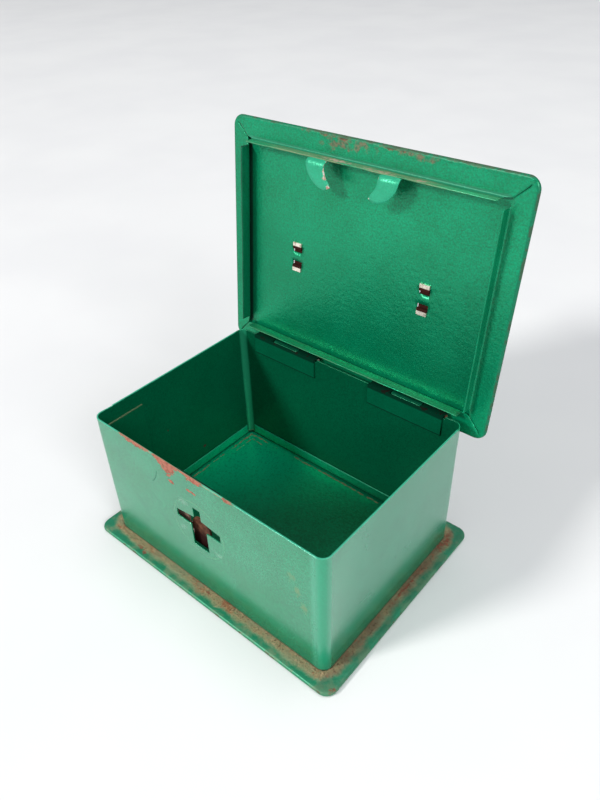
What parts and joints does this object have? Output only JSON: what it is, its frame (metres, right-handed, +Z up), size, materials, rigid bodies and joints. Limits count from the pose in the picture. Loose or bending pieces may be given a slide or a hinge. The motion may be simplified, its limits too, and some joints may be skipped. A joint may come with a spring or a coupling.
{
  "type": "first aid kit box",
  "caption": "Small sheet-steel first aid box with a hinged lid, drop handle on the lid, inward claws and a sliding lock bolt behind a cross-shaped cut-out.",
  "frame": {"origin": "centre of the base's underside, on the table", "axes": "+Z up, -Y the front with the cross-shaped cut-out, +X to the right seen from the front; the lid stands open on its stop"},
  "size_m": [0.169, 0.1369, 0.1992],
  "materials": {
    "base_paint": "hammered green paint, dirty and rust-edged",
    "wall_paint": "hammered green paint, worn",
    "lid_paint": "hammered green paint, worn",
    "hinge_paint": "painted over with the body, rusting at the bends",
    "pin_steel": "dull, rusting",
    "catch_paint": "green paint worn to bare steel at the tips",
    "bracket_steel": "bare steel, scuffed",
    "bail_paint": "green paint worn on the grip",
    "rusty_steel": "bare steel, rusted brown"
  },
  "bodies": {
    "box": {"body_shell": "wall_paint", "base_plate": "base_paint", "body_hinge_leaf_left": "hinge_paint", "body_hinge_leaf_right": "hinge_paint", "hinge_pin_left": "pin_steel", "hinge_pin_right": "pin_steel", "lock_rivet_lower": "rusty_steel", "lock_rivet_upper": "rusty_steel"},
    "lid": {"lid_shell": "lid_paint", "lid_hinge_leaf_left": "hinge_paint", "lid_hinge_leaf_right": "hinge_paint", "lid_catch_left": "catch_paint", "lid_catch_right": "catch_paint", "handle_bracket_left": "bracket_steel", "handle_bracket_right": "bracket_steel"},
    "handle": {"handle_bail": "bail_paint"},
    "bolt": {"lock_bolt": "rusty_steel"}
  },
  "joints": [
    {"name": "lid_hinge", "type": "hinge", "parent": "box", "child": "lid", "pos_m": [0, 0.0572, 0.0786], "axis": [1, 0, 0], "range_deg": [0, 95.3]},
    {"name": "handle_swing", "type": "hinge", "parent": "lid", "child": "handle", "pos_m": [0, 0.06926, 0.13231], "axis": [1, 0, 0], "range_deg": [-5, 174]},
    {"name": "bolt_slide", "type": "slide", "parent": "box", "child": "bolt", "axis": [1, 0, 0], "range_m": [0, 0.007]}
  ]
}
